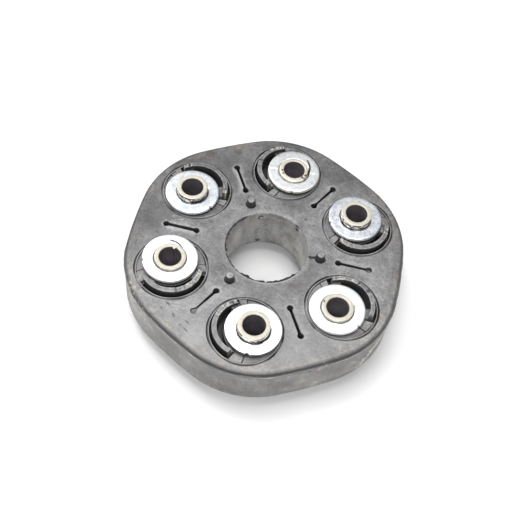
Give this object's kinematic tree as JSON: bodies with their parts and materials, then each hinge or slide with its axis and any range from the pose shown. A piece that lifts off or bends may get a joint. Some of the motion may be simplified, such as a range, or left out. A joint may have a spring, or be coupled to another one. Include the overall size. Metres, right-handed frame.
{
  "type": "flexible driveshaft coupling",
  "caption": "Lobed rubber disc that couples two shafts, with steel sleeves, washers and cord loops about a centre hole.",
  "frame": {"origin": "on the disc's axis, half way between its two faces", "axes": "+Z along the axis towards the face with the round pips; -Y through the fifth bush, at the front"},
  "size_m": [0.156, 0.161, 0.0462],
  "materials": {
    "rubber": "matt, dusty moulded rubber",
    "cord": "wound polyester cord",
    "sleeve_steel": "turned, warm plated",
    "zinc_washer": "bright zinc plated"
  },
  "bodies": {
    "root": {"rubber_body": "rubber", "upper_cord_1": "cord", "upper_cord_2": "cord", "upper_cord_3": "cord", "middle_cord_1": "cord", "middle_cord_2": "cord", "middle_cord_3": "cord", "lower_cord_1": "cord", "lower_cord_2": "cord", "lower_cord_3": "cord", "sleeve_1": "sleeve_steel", "sleeve_2": "sleeve_steel", "sleeve_3": "sleeve_steel", "sleeve_4": "sleeve_steel", "sleeve_5": "sleeve_steel", "sleeve_6": "sleeve_steel", "upper_washer_1": "zinc_washer", "upper_washer_2": "zinc_washer", "upper_washer_3": "zinc_washer", "upper_washer_4": "zinc_washer", "upper_washer_5": "zinc_washer", "upper_washer_6": "zinc_washer", "lower_washer_1": "zinc_washer", "lower_washer_2": "zinc_washer", "lower_washer_3": "zinc_washer", "lower_washer_4": "zinc_washer", "lower_washer_5": "zinc_washer", "lower_washer_6": "zinc_washer"}
  },
  "joints": []
}
